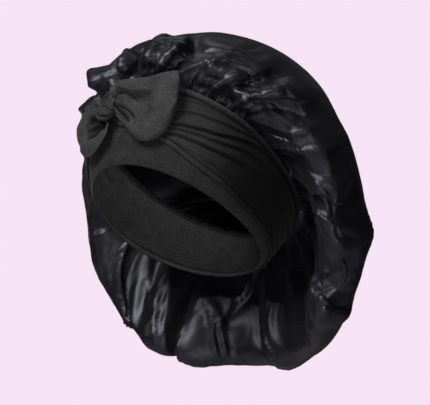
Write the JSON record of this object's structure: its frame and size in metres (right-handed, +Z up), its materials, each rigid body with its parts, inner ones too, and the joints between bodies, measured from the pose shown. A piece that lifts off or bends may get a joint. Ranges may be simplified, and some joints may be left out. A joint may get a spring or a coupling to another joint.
{
  "type": "sleep bonnet",
  "caption": "Full satin sleep bonnet, gathered at the back of a wide jersey band with long ties wrapped round it and knotted in a bow at the brow.",
  "frame": {"origin": "centre of the head opening at the band's lower edge", "axes": "+Z up, the face toward -Y and the wearer's left toward +X, with the bonnet as worn on an upright head"},
  "size_m": [0.3387, 0.2919, 0.3349],
  "materials": {
    "satin": "black satin weave, glossy along its folds",
    "jersey": "charcoal stretch jersey, matt with a fine heathered grain"
  },
  "bodies": {
    "root": {"crown_bag": "satin", "headband": "jersey", "gather_elastic": "jersey", "tie_left": "jersey", "tie_right": "jersey", "knot": "jersey", "tail_left": "jersey", "tail_right": "jersey"}
  },
  "joints": []
}
